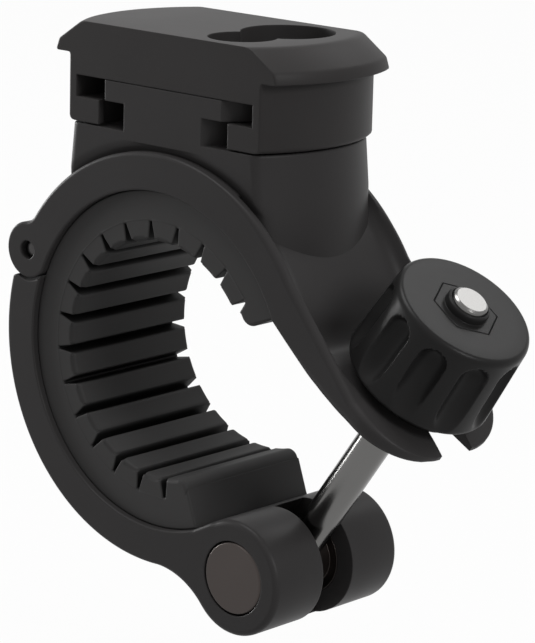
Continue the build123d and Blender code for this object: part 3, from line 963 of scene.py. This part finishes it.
@dataclass
class LowerJaw:
    """The swinging half: band, middle knuckle and clevis."""

    sizes: ClampSizes = SIZES
    rim_round: float = 0.45
    inner_round: float = 0.225
    relief_round: float = 0.18
    knuckle_round: float = 0.2
    lug_round: float = 0.75
    lug_root: float = 11.0
    lug_run: float = 11.0
    bed_end: float = 289.5
    shoulder_drop: float = 4.0
    shoulder_slope: float = 22.0
    slot_half: float = 2.95
    back_wall: float = 5.4
    floor_angle: float = 235.0
    root_angle: float = 176.0
    root_inset: float = 0.04

    def outline(self) -> Outline:
        """Front view outline, counter-clockwise from the shoulder."""
        s = self.sizes
        shoulder_z = s.hinge[1] - self.shoulder_drop
        shoulder = (-sqrt(s.outer_radius**2 - shoulder_z**2), shoulder_z)
        band, lug = s.outer_radius + self.lug_root, s.lug_radius + self.lug_root
        root = meet(ORIGIN, band, s.barrel, lug, left=False)
        band_end = bearing(ORIGIN, root, 270)
        lug_start = bearing(s.barrel, root, 200)
        end = polar(s.seat_radius, self.bed_end)
        reach = apart(s.barrel, end)
        lug_end = bearing(s.barrel, end, 150) - degrees(acos(s.lug_radius / reach)) + 360
        corner = meet(ORIGIN, s.seat_radius, s.hinge, s.relief_radius, left=True)
        bed_start = bearing(ORIGIN, corner, 159)
        relief_start = bearing(s.hinge, corner)
        stop = self.relief_stop(shoulder)
        relief_end = bearing(s.hinge, stop, relief_start - 60)
        shoulder_angle = bearing(ORIGIN, shoulder, 165)
        root_end = unwrap(lug_start - 180, band_end - 120)
        return Outline(
            (arc(ORIGIN, s.outer_radius, shoulder_angle, band_end), self.rim_round),
            (arc(root, self.lug_root, band_end - 180, root_end), self.toward_lug),
            (arc(s.barrel, s.lug_radius, lug_start, lug_end), self.lug_round),
            (line(polar(s.lug_radius, lug_end, s.barrel), end), self.rim_round),
            (arc(ORIGIN, s.seat_radius, self.bed_end, bed_start), self.inner_round),
            (arc(s.hinge, s.relief_radius, relief_start, relief_end, 0.3), self.relief_round),
            (line(stop, shoulder), self.relief_round),
        )

    def relief_stop(self, shoulder: Point) -> Point:
        """Finds where the shoulder's slope runs into the hollow round the hinge.

        Args:
            shoulder: the slope's outer end.

        Returns:
            The point.
        """
        s = self.sizes
        slope = tan(radians(self.shoulder_slope))
        a, b = 1 + slope**2, shoulder[1] - s.hinge[1] + slope * (s.hinge[0] - shoulder[0])
        shift = (-slope * b - sqrt(max(0.0, (slope * b) ** 2 - a * (b**2 - s.relief_radius**2)))) / a
        return (s.hinge[0] + shift, s.hinge[1] + b + slope * shift)

    def toward_lug(self, point: Point) -> float:
        """Rounding of the rim on the concave run to the lug."""
        share = unit((point[0] + 1.0) / self.lug_run)
        return self.rim_round + (self.lug_round - self.rim_round) * share

    def slot(self) -> Shape:
        """The clevis slot: round behind the barrel, open above and below for the bolt's swing."""
        s = self.sizes
        reach = 2 * s.lug_radius
        run_out = self.floor_angle + degrees(acos(self.back_wall / reach))
        points = arc(s.barrel, self.back_wall, 180 - s.tilt, self.floor_angle, 0.3)
        points += [
            polar(reach, run_out, s.barrel), polar(2 * reach, -s.tilt, s.barrel),
            s.up_bolt(reach, reach), s.up_bolt(-self.back_wall, reach),
        ]
        return prism(points, self.slot_half)

    def knuckle(self) -> Outline:
        """The middle knuckle, with a short length of band to root it."""
        s = self.sizes
        skin, bed = s.outer_radius - self.root_inset, s.seat_radius + self.root_inset
        radius = s.outer_radius - s.hinge_inset - s.seat_radius
        root = meet(ORIGIN, skin + s.root_round, s.hinge, radius + s.root_round, left=True)
        corner = meet(ORIGIN, s.seat_radius, s.hinge, radius, left=False)
        band_start = bearing(ORIGIN, root, 165)
        knuckle_end = bearing(s.hinge, root, 200)
        knuckle_start = bearing(s.hinge, corner, knuckle_end - 180)
        root_start, root_end = unwrap(knuckle_end + 180, 20), unwrap(band_start + 180, -10)
        arcs = (
            arc(s.hinge, radius, knuckle_start, knuckle_end, 0.3),
            arc(root, s.root_round, root_start, root_end),
            arc(ORIGIN, skin, band_start, self.root_angle),
            arc(ORIGIN, bed, self.root_angle, bearing(ORIGIN, corner, 150)),
        )
        return Outline(*((points, self.knuckle_round) for points in arcs))

    def build(self) -> None:
        """Builds the half, cuts its slot and its barrel hole, and adds the middle knuckle."""
        s = self.sizes
        body = self.outline().solid(s.half_width, (0.0, 0.5), steps=5).piece("jaw_shell")
        hole = prism(arc(s.barrel, s.barrel_radius + s.fit, 0, 356, 0.3), s.half_width * 2)
        carve(body, [self.slot(), hole])
        dress(body, SHELL, Body.JAW, "lower_jaw")
        middle = self.knuckle().solid(s.middle_half, (0.0,), steps=3).piece("jaw_knuckle")
        dress(middle, SHELL, Body.JAW)


@dataclass
class Hardware:
    """Hinge pin, cross barrel and swing bolt. Ends are given as (radius, drop) steps of a profile."""

    sizes: ClampSizes = SIZES
    pin_recess: float = 0.6
    pin_end: tuple[Point, ...] = ((0.0, 0.0), (0.6, 0.04), (1.05, 0.2), (1.25, 0.55))
    barrel_end: tuple[Point, ...] = ((-0.4, 0.0), (-0.32, 0.01), (-0.02, 0.3), (0.0, 0.4))
    bolt_end: tuple[Point, ...] = ((0.0, 0.5), (-0.12, 0.2), (-0.42, 0.0))
    shank_start: float = 3.0
    shank_radius: float = 2.4
    thread_radius: float = 2.5
    thread_start: float = 34.5
    thread_lead: float = 0.1
    bolt_length: float = 49.4
    waist_radius: float = 3.8
    waist_half: float = 2.95

    def build(self) -> None:
        """Builds and dresses all three."""
        s = self.sizes
        reach = s.half_width - self.pin_recess
        pin = [(radius, drop - reach) for radius, drop in self.pin_end] + [(s.pin_radius, 0)]
        dress(turned(mirrored(pin), along_bar(s.hinge), 48).piece("pin_look"), PIN, Body.CLAMP, "hinge_pin")
        barrel = [(0, -s.half_width)]
        barrel += [(s.barrel_radius + step, drop - s.half_width) for step, drop in self.barrel_end]
        barrel += [(s.barrel_radius, -self.waist_half), (self.waist_radius, -self.waist_half)]
        barrel += [(self.waist_radius, 0)]
        turned_barrel = turned(mirrored(barrel), along_bar(s.barrel), 96).piece("barrel_look")
        dress(turned_barrel, BARREL, Body.BOLT, "cross_barrel")
        bolt = [(0, self.shank_start), (self.shank_radius, self.shank_start)]
        bolt += [(self.shank_radius, self.thread_start)]
        bolt += [(self.thread_radius, self.thread_start + self.thread_lead)]
        bolt += [(self.thread_radius + step, self.bolt_length - drop) for step, drop in self.bolt_end]
        bolt += [(0, self.bolt_length)]
        dress(turned(bolt, s.on_bolt, 64).piece("bolt_look"), SHANK, Body.BOLT, "swing_bolt")


@dataclass
class Knob:
    """The fluted grip and its hexagon insert with a collar round the bolt's end."""

    sizes: ClampSizes = SIZES
    foot: float = 35.3
    top: float = 47.75
    foot_radius: float = 10.05
    foot_round: float = 0.35
    foot_ease: float = 0.1
    shoulder_radius: float = 9.45
    shoulder_drop: float = 1.0
    face_radius: float = 8.7
    flutes: int = 10
    phase: float = 9.0
    flute_radius: float = 2.0
    flute_depth: float = 1.7
    flute_top: float = 46.25
    flute_lean: float = 6.0
    flute_fade: float = 5.0
    soft: float = 0.3
    spokes: int = 720
    level_step: float = 0.278
    bore: float = 2.8
    bore_floor: float = 38.55
    hollow: float = 7.8
    hollow_top: float = 36.1
    hexagon: float = 4.0
    pocket_fit: float = 1.012
    pocket_depth: float = 1.2
    insert_levels: tuple[Point, ...] = ((1.0, -1.1), (1.0, -0.12), (0.975, 0.02))
    insert_bore: float = 2.56
    collar_radius: float = 2.98
    collar_height: float = 1.15
    collar_sink: float = 0.4
    collar_end: tuple[Point, ...] = ((0.0, 0.35), (-0.1, 0.12), (-0.36, 0.0))
    sides: int = 48
    crease: float = 40.0

    def profile(self) -> list[Point]:
        """Outer profile as (radius, height), from the foot to the face."""
        start = (self.foot_radius, self.foot + self.foot_round)
        knee = (self.shoulder_radius, self.top - self.shoulder_drop)
        drop = self.shoulder_radius - self.face_radius
        bends = [pi / 2 * i / 10 for i in range(1, 11)]
        points = [
            (self.hollow, self.foot), (self.foot_radius - self.foot_round, self.foot),
            (self.foot_radius - self.foot_ease, self.foot + self.foot_ease),
        ]
        points += line(start, knee, self.level_step)
        rise = self.shoulder_drop
        return points + [(self.face_radius + drop * cos(b), knee[1] + rise * sin(b)) for b in bends]

    def fluted(self, angle: float, radius: float, height: float) -> float:
        """Cuts the flutes into the grip's outer surface.

        Args:
            angle: degrees about the bolt.
            radius: the plain surface's radius at that height.
            height: distance up the bolt.

        Returns:
            The radius of the fluted surface there.
        """
        pitch = 360.0 / self.flutes
        turn = (angle - self.phase + pitch / 2) % pitch - pitch / 2
        side = abs(radius * sin(radians(turn)))
        high = self.flute_top - self.flute_radius
        size = self.flute_radius
        if height > high:
            size = sqrt(max(0.0, self.flute_radius**2 - (height - high) ** 2))
        if side >= size:
            return radius
        fallen = max(0.0, (self.foot + self.flute_fade - height) / self.flute_fade)
        lean = tan(radians(self.flute_lean)) * (high - height) + self.flute_depth * fallen**2
        centre = self.shoulder_radius + self.flute_radius - self.flute_depth + lean
        return blend_low(radius, centre - sqrt(size**2 - side**2), self.soft)

    def grip(self) -> Shape:
        """The whole grip as one skin, its underside hollowed for the washer."""
        inner = [(self.bore, self.bore_floor), (self.bore, self.hollow_top), (self.hollow, self.hollow_top)]
        face = [(self.face_radius * 0.8, self.top), (self.hexagon * 1.3, self.top)]
        rings = []
        for radius, height in inner + self.profile() + face:
            ring = []
            for i in range(self.spokes):
                angle = 360.0 * i / self.spokes
                reach = self.fluted(angle, radius, height) if radius > self.hollow else radius
                ring.append(self.sizes.on_bolt(*polar(reach, angle), height))
            rings.append(ring)
        return Shape.skin(rings)

    def build(self) -> None:
        """Builds grip and insert."""
        s, top = self.sizes, self.top
        grip = self.grip().piece("grip", self.crease)
        pocket = hexagon(self.hexagon * self.pocket_fit)
        bore = turned([(self.bore, self.foot - 1), (self.bore, top + 1)], s.on_bolt, self.sides)
        carve(grip, [s.stack((pocket, top - self.pocket_depth), (pocket, top + 1)), bore], self.crease)
        dress(grip, GRIP, Body.KNOB, "knob")
        levels = [(hexagon(self.hexagon * share), top + rise) for share, rise in self.insert_levels]
        insert = s.stack(*levels).piece("insert_look")
        wall, rim = self.collar_radius, top + self.collar_height
        collar = [(wall, top - self.collar_sink)]
        collar += [(wall + step, rim - drop) for step, drop in self.collar_end]
        carve(insert, [turned(collar, s.on_bolt, self.sides)], action="UNION")
        hole = [(self.insert_bore, top - 2), (self.insert_bore, top + 2)]
        carve(insert, [turned(hole, s.on_bolt, self.sides)])
        dress(insert, GRIP, Body.KNOB, "knob_insert")


@dataclass
class Head:
    """The turning head: a drum cut flat on two sides, T-slotted below, lipped and keyholed above."""

    half_depth: float = 11.0
    corner: float = 0.35
    drum: tuple[Point, ...] = ((19.6, 29.95), (19.95, 30.02), (20.2, 30.25), (20.3, 30.6), (20.3, 38.55))
    lip: tuple[Point, ...] = (
        (20.36, 38.85), (20.55, 39.0), (22.3, 39.0), (22.46, 39.06), (22.5, 39.25),
        (22.15, 40.35), (22.08, 40.52),
    )
    bevel: tuple[Point, ...] = (
        (21.9, 40.72), (18.95, 43.02), (18.6, 43.22), (18.2, 43.32), (17.8, 43.35),
    )
    slot_half: float = 15.78
    slot_low: float = 33.2
    slot_top: float = 36.14
    throat_half: float = 11.56
    throat_low: float = 29.0
    throat_top: float = 33.5
    throat_step: float = 0.3
    throat_sill: float = 0.1
    front_lip: float = 0.95
    pocket_low: float = 38.85
    pocket_top: float = 44.0
    wide_centre: Point = (9.0, 3.0)
    wide_radius: float = 6.25
    narrow_centre: Point = (8.2, -4.85)
    narrow_radius: float = 4.55

    def build(self) -> None:
        """Builds the head and cuts the slot and the pocket."""
        rings = [
            [(x, y, z) for x, y in plan_ring(radius, self.half_depth, self.corner)]
            for radius, z in self.drum + self.lip + self.bevel
        ]
        head = Shape.skin(rings).piece("head_look")
        through = self.half_depth + 2
        low, high = self.throat_low, self.throat_top
        step, sill = self.throat_step, self.throat_sill
        tools = [
            block(self.slot_half, self.slot_low, self.slot_top, through),
            block(self.throat_half, low, high, through),
            block(self.throat_half + step, low - sill, high - sill, self.half_depth - self.front_lip),
            upright(self.keyhole(), self.pocket_low, self.pocket_top),
        ]
        carve(head, tools)
        dress(head, CAP, Body.HEAD, "mount_head")

    def keyhole(self) -> list[Point]:
        """Plan outline of the pocket: two circles run into each other."""
        wide, narrow = self.wide_centre, self.narrow_centre
        big, small = self.wide_radius, self.narrow_radius
        east, west = (meet(wide, big, narrow, small, left) for left in (True, False))
        first = bearing(wide, east)
        last = bearing(wide, west, first + 280)
        start = bearing(narrow, west)
        stop = bearing(narrow, east, start + 240)
        return arc(wide, big, first, last, 0.3) + arc(narrow, small, start, stop, 0.3)[1:-1]


@dataclass
class Liner:
    """The rubber liner: a base strip with end blocks, and lands repeated between its grooves."""

    crest: float = 15.9
    root: float = 18.55
    outer: float = 22.7
    half_width: float = 11.15
    first: float = 35.0
    pitch: float = 15.0
    grooves: int = 17
    mouth: float = 1.2
    floor: float = 0.35
    upper_end: float = 24.5
    end_crest: float = 17.0
    end_round: float = 1.7
    lower_end: float = 289.5
    block_round: float = 1.5
    block_turn: float = 5.2
    outer_rim: float = 0.2
    root_rim: float = 0.25
    wall_rim: float = 0.3
    end_rim: float = 0.5
    block_rim: float = 0.6
    rim: float = 0.75
    flank_rim: float = 0.16
    edge: float = 0.24
    # Share of the colour left where the painted shade is deepest, at the groove floors.
    darkest_painted_shade: float = 0.2
    bend_radius: float = 20.0
    bend_angles: Point = (150.0, 168.0)

    @property
    def last(self) -> float:
        """Angle of the last groove."""
        return self.first + (self.grooves - 1) * self.pitch

    def flank(self, groove: float, side: int) -> tuple[Point, Point]:
        """Foot and top of a groove's flank.

        Args:
            groove: the groove's angle in degrees.
            side: 1 for the flank counter-clockwise of it, -1 for the other.

        Returns:
            The foot and the top.
        """
        along, across = Vector(polar(1.0, groove)), Vector(polar(1.0, groove + 90))
        foot = along * (self.root - 0.06) + across * side * self.floor / 2
        top = along * self.crest + across * side * self.mouth / 2
        return (foot.x, foot.y), (top.x, top.y)

    def base(self) -> Outline:
        """The strip with its two end blocks."""
        foot_a, _ = self.flank(self.first, -1)
        foot_b, top_b = self.flank(self.last, 1)
        block, turned_end = self.crest + self.block_round, self.lower_end - self.block_turn
        corner = polar(block, turned_end)
        turn = self.upper_end + degrees(asin(self.end_round / (self.end_crest + self.end_round)))
        tip = polar(self.end_crest + self.end_round, turn)
        return Outline(
            (arc(ORIGIN, self.outer, self.upper_end, self.lower_end), self.outer_rim),
            (line(polar(self.outer, self.lower_end), polar(block, self.lower_end)), self.wall_rim),
            (arc(corner, self.block_round, turned_end + 90, turned_end + 180, 0.2), self.end_rim),
            (arc(ORIGIN, self.crest, turned_end - 0.1, bearing(ORIGIN, top_b) % 360, 0.3), self.block_rim),
            (line(top_b, foot_b, 0.4), self.wall_rim),
            (arc(ORIGIN, self.root, self.last, self.first), self.root_rim),
            (line(foot_a, polar(self.end_crest + 0.1, self.first - 2.5), 0.4), self.wall_rim),
            (arc(ORIGIN, self.end_crest, self.first - 2.6, turn, 0.3), self.end_rim),
            (arc(tip, self.end_round, turn + 180, self.upper_end + 270, 0.25), self.end_rim),
        )

    def land(self) -> Outline:
        """One land between two grooves, centred on +X."""
        foot_a, top_a = self.flank(-self.pitch / 2, 1)
        foot_b, top_b = self.flank(self.pitch / 2, -1)
        sink = self.root + 0.5
        start, stop = bearing(ORIGIN, top_a), bearing(ORIGIN, top_b)
        ease = degrees(self.edge / self.crest)
        low, high = self.crest + self.edge, self.crest + self.edge * 0.3
        return Outline(
            ([polar(sink, bearing(ORIGIN, foot_b)), foot_b], self.root_rim),
            (line(foot_b, top_b, 0.5)[1:-1], self.flank_rim),
            ([polar(low, stop + ease * 0.1), polar(high, stop - ease * 0.3)], self.rim),
            (arc(ORIGIN, self.crest, stop - ease, start + ease, 0.3), self.rim),
            ([polar(high, start + ease * 0.3), polar(low, start - ease * 0.1)], self.rim),
            (line(top_a, foot_a, 0.5)[1:-1], self.flank_rim),
            ([foot_a, polar(sink, bearing(ORIGIN, foot_a))], self.root_rim),
        )

    def shade(self, mesh: bpy.types.Mesh) -> None:
        """Stores painted shade at each point as a share of the colour: full on lands and end faces, darker
        down in the grooves.
        """
        store = mesh.attributes.new(PAINTED_GROOVE_SHADE, "FLOAT", "POINT")
        for vertex, value in zip(mesh.vertices, store.data):
            x, y, z = vertex.co / MM
            down = (hypot(x, z) - self.crest - self.edge / 2) / (2 * self.edge)
            inside = (self.half_width - abs(y)) / self.flank_rim
            grooved = self.first - self.mouth <= bearing(ORIGIN, (x, z)) % 360 <= self.last + self.mouth
            depth = unit(down) * min(1.0, inside) if grooved else 0.0
            value.value = 1.0 - (1.0 - self.darkest_painted_shade) * depth

    def repeat(self) -> bpy.types.NodeTree:
        """Geometry nodes that turn copies of a land round the bore and join them to the strip."""
        tree = bpy.data.node_groups.new("lands_round_bore", "GeometryNodeTree")
        sockets = (
            ("Geometry", "Geometry"), ("Land", "Object"), ("Count", "Int"), ("First Angle", "Float"),
            ("Pitch", "Float"), ("Material", "Material"),
        )
        for name, kind in sockets:
            tree.interface.new_socket(name, in_out="INPUT", socket_type=f"NodeSocket{kind}")
        tree.interface.new_socket("Geometry", in_out="OUTPUT", socket_type="NodeSocketGeometry")
        given, result, land, index, spin, place, both, real, coat = (tree.nodes.new(kind) for kind in (
            "NodeGroupInput", "NodeGroupOutput", "GeometryNodeObjectInfo", "GeometryNodeInputIndex",
            "ShaderNodeCombineXYZ", "GeometryNodeInstanceOnPoints", "GeometryNodeJoinGeometry",
            "GeometryNodeRealizeInstances", "GeometryNodeSetMaterial",
        ))
        row = add_node(tree, "GeometryNodeMeshLine", Offset=(0.0, 0.0, 0.0))
        first, pitch = given.outputs["First Angle"], given.outputs["Pitch"]
        turn = add_math(tree, "MULTIPLY_ADD", index.outputs["Index"], pitch, first)
        tree.links.new(add_math(tree, "MULTIPLY", turn, -1.0), spin.inputs["Y"])
        wires = (
            (given, "Count", row, "Count"), (row, "Mesh", place, "Points"),
            (spin, "Vector", place, "Rotation"),
            (given, "Land", land, "Object"), (land, "Geometry", place, "Instance"),
            (place, "Instances", both, "Geometry"), (given, "Geometry", both, "Geometry"),
            (both, "Geometry", real, "Geometry"), (real, "Geometry", coat, "Geometry"),
            (given, "Material", coat, "Material"), (coat, "Geometry", result, "Geometry"),
        )
        for source, output, target, entry in wires:
            tree.links.new(source.outputs[output], target.inputs[entry])
        return tree

    def build(self) -> None:
        """Builds the liner as one strip with its lands repeated round the bore."""
        strip = self.base().solid(self.half_width, (0.0,), steps=4).piece("liner_look")
        land = self.land().solid(self.half_width, (0.0,), steps=4).piece("land_pattern")
        tree = self.repeat()
        step = strip.modifiers.new("lands", "NODES")
        step.node_group = tree
        values = {
            "Land": land, "Count": self.grooves - 1, "First Angle": radians(self.first + self.pitch / 2),
            "Pitch": radians(self.pitch), "Material": RUBBER.material(),
        }
        for item in tree.interface.items_tree:
            if item.in_out == "INPUT" and item.name in values:
                step[item.identifier] = values[item.name]
        settle(strip)
        # Paints shade into the colour down in the grooves.
        self.shade(strip.data)
        discard(land)
        paint(strip, RUBBER)
        start, end = (polar(self.bend_radius * MM, angle) for angle in self.bend_angles)
        start, end = (start[0], 0.0, start[1]), (end[0], 0.0, end[1])
        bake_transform(strip)
        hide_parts("upper_liner", "lower_liner")
        LOG.info("%s: %d faces", strip.name, len(strip.data.polygons))


@dataclass(frozen=True)
class Lamp:
    """A round area lamp aimed at the part: place and size in metres, power in watts."""

    name: str
    place: Solid
    size: float
    power: float

    def build(self) -> None:
        """Places the lamp."""
        data = bpy.data.lights.new(self.name, "AREA")
        data.shape, data.size, data.energy = "DISK", self.size, self.power
        made = bpy.data.objects.new(self.name, data)
        made.location = self.place
        made.rotation_euler = (Vector(self.place) * -1).to_track_quat("-Z", "Y").to_euler()
        bpy.context.scene.collection.objects.link(made)


def looked_at(tree: bpy.types.NodeTree) -> bpy.types.NodeSocket:
    """Is 1 where the camera, a shiny surface or a clear one sees the shader, and 0 elsewhere."""
    rays = tree.nodes.new("ShaderNodeLightPath").outputs
    seen = add_math(tree, "MAXIMUM", rays["Is Camera Ray"], rays["Is Glossy Ray"])
    return add_math(tree, "MAXIMUM", seen, rays["Is Transmission Ray"])


def mix_shaders(tree: bpy.types.NodeTree, *sources: bpy.types.NodeSocket) -> bpy.types.NodeSocket:
    """Mixes two shaders.

    Args:
        tree: the node tree.
        sources: the share of the second shader, then both shaders.

    Returns:
        The mixed shader's socket.
    """
    mix = tree.nodes.new("ShaderNodeMixShader")
    for source, place in zip(sources, mix.inputs):
        tree.links.new(source, place)
    return mix.outputs["Shader"]


@dataclass
class Studio:
    """Camera, floor, world and lamps."""

    azimuth: float = 41.87
    elevation: float = 13.59
    roll: float = 1.41
    distance: float = 422.5
    aim: Solid = (9.3375, 0.0, 5.1774)
    focal_pixels: float = 3201.45
    image: tuple[int, int] = (535, 643)
    sensor: float = 36.0
    clip: Point = (0.01, 20.0)
    ambient: float = 0.45
    ambient_colour: Colour = (1.0, 0.97, 0.96)
    floor_half: float = 3.0
    floor_shade: float = 0.45
    floor_rough: float = 0.9
    floor_glow: float = 0.95
    floor_drop: float = 17.0
    lamps: tuple[Lamp, ...] = (
        Lamp("top", (-0.2, -0.15, 0.95), 0.6, 8.0),
        Lamp("back", (0.05, 0.78, 0.8), 0.35, 1.35),
        Lamp("left", (-1.0, -0.15, 0.03), 0.35, 9.0),
        Lamp("right", (0.95, -0.1, 0.45), 0.35, 5.0),
    )

    def camera(self) -> None:
        """Places the camera at the picture's viewing angle."""
        az, el, roll = radians(self.azimuth), radians(self.elevation), radians(self.roll)
        ahead = Vector((-sin(az) * cos(el), cos(az) * cos(el), -sin(el)))
        right = Vector((cos(az), sin(az), 0.0))
        up = right.cross(ahead)
        right, up = right * cos(roll) + up * sin(roll), up * cos(roll) - right * sin(roll)
        lens = bpy.data.cameras.new("camera")
        lens.sensor_width = self.sensor
        lens.lens = self.focal_pixels * self.sensor / max(self.image)
        lens.clip_start, lens.clip_end = self.clip
        made = bpy.data.objects.new("camera", lens)
        eye = (Vector(self.aim) - ahead * self.distance) * MM
        rows = [(right[k], up[k], -ahead[k], eye[k]) for k in range(3)]
        made.matrix_world = Matrix((*rows, (0, 0, 0, 1)))
        bpy.context.scene.collection.objects.link(made)
        bpy.context.scene.camera = made

    def world(self) -> None:
        """Soft ambient light, white where the camera or a shiny surface sees it."""
        world = bpy.data.worlds.new("studio")
        bpy.context.scene.world = world
        world.use_nodes = True
        tree = world.node_tree
        light = tree.nodes["Background"]
        light.inputs["Color"].default_value = (*self.ambient_colour, 1.0)
        light.inputs["Strength"].default_value = self.ambient
        white = add_node(tree, "ShaderNodeBackground", Color=(1.0, 1.0, 1.0, 1.0)).outputs["Background"]
        mixed = mix_shaders(tree, looked_at(tree), light.outputs["Background"], white)
        tree.links.new(mixed, tree.nodes["World Output"].inputs["Surface"])

    def floor(self) -> None:
        """A plain pale floor, low enough to clear the bolt when it swings down."""
        low, half = CAD_BOX[0][2] - self.floor_drop * MM, self.floor_half
        corners = [(-half, -half, low), (half, -half, low), (half, half, low), (-half, half, low)]
        mesh = bpy.data.meshes.new("floor")
        mesh.from_pydata(corners, [], [(0, 1, 2, 3)])
        made = bpy.data.objects.new("floor", mesh)
        coat = bpy.data.materials.new("floor_paint")
        coat.use_nodes = True
        tree = coat.node_tree
        surface = tree.nodes["Principled BSDF"]
        surface.inputs["Base Color"].default_value = (*(self.floor_shade,) * 3, 1.0)
        surface.inputs["Roughness"].default_value = self.floor_rough
        glow = tree.nodes.new("ShaderNodeEmission").outputs["Emission"]
        share = add_math(tree, "MULTIPLY", looked_at(tree), self.floor_glow)
        mixed = mix_shaders(tree, share, surface.outputs["BSDF"], glow)
        tree.links.new(mixed, tree.nodes["Material Output"].inputs["Surface"])
        mesh.materials.append(coat)
        bpy.context.scene.collection.objects.link(made)

    def build(self) -> None:
        """Sets the whole studio up."""
        self.camera()
        self.world()
        self.floor()
        for lamp in self.lamps:
            lamp.build()
        bpy.context.scene.view_settings.view_transform = "Standard"
        LOG.info("studio: camera, world, floor and %d lamps", len(self.lamps))


def plain(node: str, finish: Finish) -> None:
    """Gives a CAD node that stays as it is its material."""
    paint(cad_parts[node], finish)
    LOG.info("%s: packed mesh kept", node)


def main() -> None:
    """Builds and dresses every piece, then the studio."""
    logging.basicConfig(level=logging.INFO, format="%(name)s %(message)s")
    UpperClamp().build()
    LowerJaw().build()
    Hardware().build()
    Knob().build()
    Head().build()
    Liner().build()
    plain("seat_washer", PIN)
    plain("swivel_screw", PIN)
    Studio().build()


if __name__ == "__main__":
    main()
